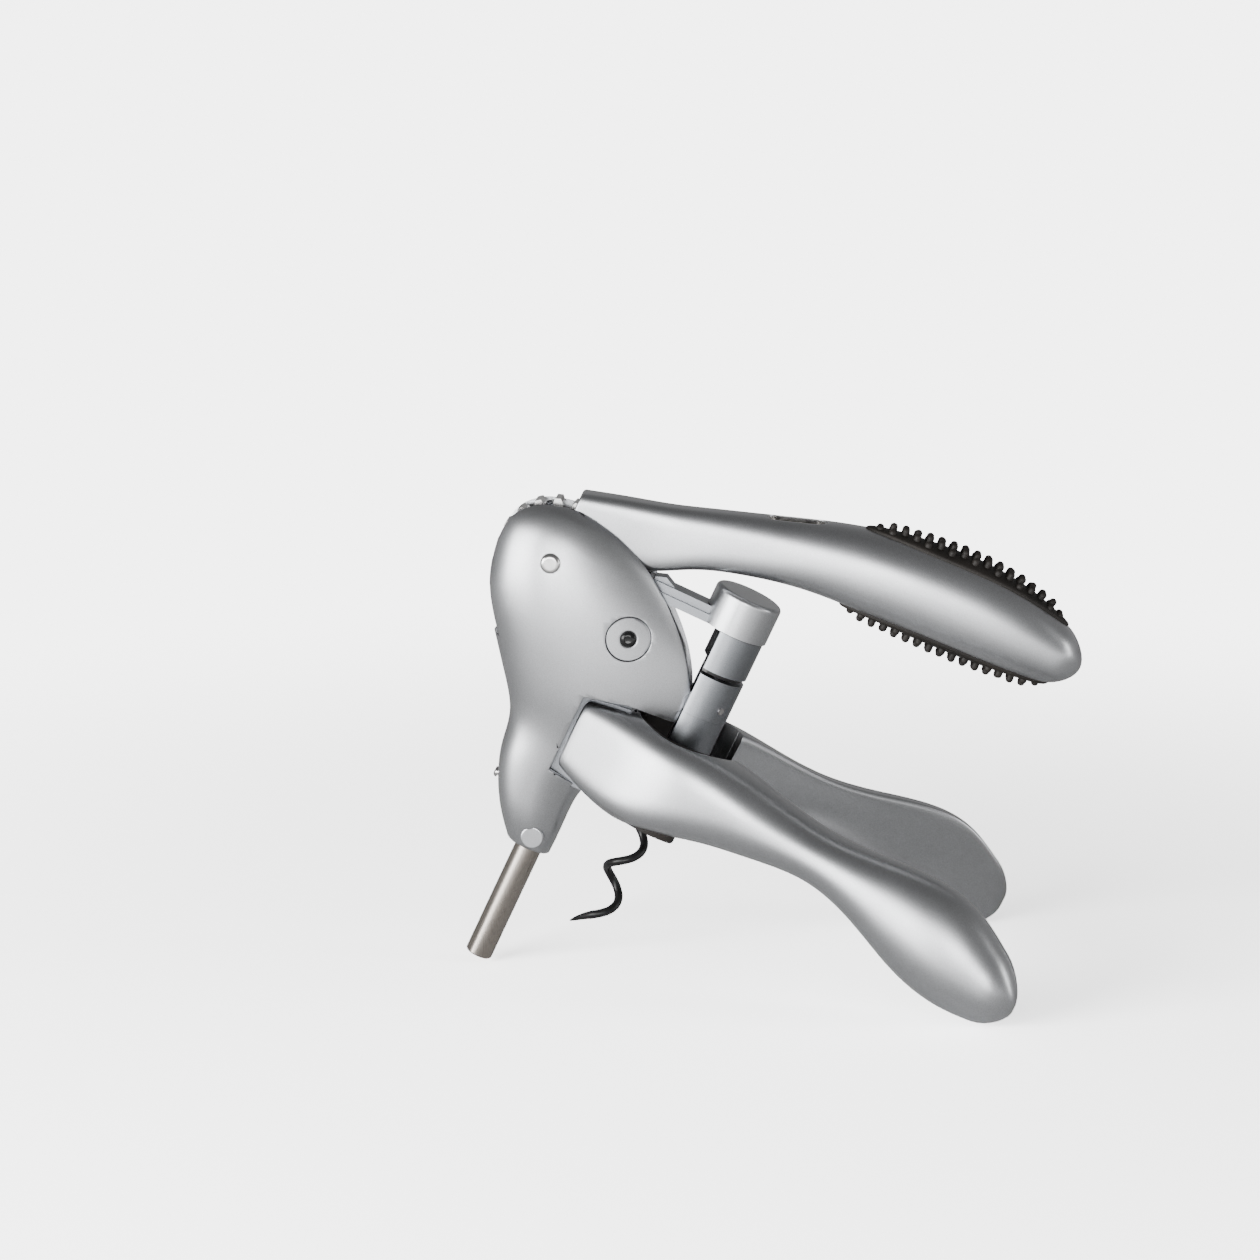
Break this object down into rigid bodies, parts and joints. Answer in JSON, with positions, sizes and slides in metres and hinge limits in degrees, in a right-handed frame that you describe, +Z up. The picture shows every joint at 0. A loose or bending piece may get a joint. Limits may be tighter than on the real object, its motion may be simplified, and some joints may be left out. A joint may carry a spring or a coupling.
{
  "type": "lever corkscrew",
  "caption": "Lever corkscrew: a geared lever drives a worm on a guide rod while two hinged handles with lined jaws grip the bottle neck.",
  "frame": {"origin": "centre of the bounding box on the surface it stands on", "axes": "+Z up, +X from the head towards the handle tips, -Y the right side; the tool stands on the foot of its rod and both handle tips, tool axis tilted 24.59 degrees from +Z towards +X"},
  "size_m": [0.18, 0.1132, 0.1413],
  "materials": {
    "satin_silver": "satin silver metallic paint",
    "cast_silver": "satin cast metal",
    "polished_steel": "polished",
    "brushed_steel": "brushed",
    "black_rubber": "matt",
    "black_gloss": "gloss",
    "black_coating": "non-stick coating, semi-gloss",
    "bush_plastic": "matt"
  },
  "bodies": {
    "head": {"right_head_shell": "satin_silver", "left_head_shell": "satin_silver", "right_eye_disc": "satin_silver", "left_eye_disc": "satin_silver", "right_eye_screw": "black_gloss", "left_eye_screw": "black_gloss", "right_neck_cap": "polished_steel", "left_neck_cap": "polished_steel", "head_chassis": "cast_silver", "rod_bushes": "bush_plastic", "lever_pivot_pin": "polished_steel", "front_rivet": "polished_steel", "nut_carrier": "cast_silver", "nut_pin": "polished_steel", "mouth_collar": "cast_silver", "right_hinge_pin": "brushed_steel", "left_hinge_pin": "brushed_steel"},
    "lever": {"lever_gear": "polished_steel", "lever_arm": "satin_silver", "gear_rivets": "polished_steel", "lever_top_grip": "black_rubber", "lever_bottom_grip": "black_rubber", "lever_inlay": "polished_steel"},
    "carriage": {"guide_rod": "brushed_steel", "gear_rack": "polished_steel", "carriage_arm": "cast_silver", "arm_pin": "polished_steel", "worm_housing": "cast_silver", "housing_washer": "black_gloss", "thrust_washer": "brushed_steel", "worm_cap": "cast_silver"},
    "worm": {"worm": "black_coating", "worm_screw": "brushed_steel"},
    "right_handle": {"right_handle_shell": "satin_silver", "right_handle_cover": "satin_silver", "right_neck_liner": "black_rubber"},
    "left_handle": {"left_handle_shell": "satin_silver", "left_handle_cover": "satin_silver", "left_neck_liner": "black_rubber"}
  },
  "joints": [
    {"name": "lever_swing", "type": "hinge", "parent": "head", "child": "lever", "pos_m": [-0.06323, 0, 0.12271], "axis": [0, -1, 0], "range_deg": [0, 180]},
    {"name": "carriage_slide", "type": "slide", "parent": "head", "child": "carriage", "axis": [0.4161, 0, 0.9093], "range_m": [0, 0.04948]},
    {"name": "worm_spin", "type": "hinge", "parent": "carriage", "child": "worm", "pos_m": [-0.03703, 0, 0.04562], "axis": [0.4161, 0, 0.9093], "range_deg": [0, 989.61]},
    {"name": "right_handle_hinge", "type": "hinge", "parent": "head", "child": "right_handle", "pos_m": [-0.05079, -0.0105, 0.06842], "axis": [0.4161, 0, 0.9093], "range_deg": [0, 19.3]},
    {"name": "left_handle_hinge", "type": "hinge", "parent": "head", "child": "left_handle", "pos_m": [-0.05079, 0.0105, 0.06842], "axis": [-0.4161, 0, -0.9093], "range_deg": [0, 19.3]}
  ],
  "couplings": [
    {"joint": "carriage_slide", "follows": "lever_swing", "m_per_rad": 0.01575},
    {"joint": "worm_spin", "follows": "lever_swing", "ratio": 5.4978}
  ]
}
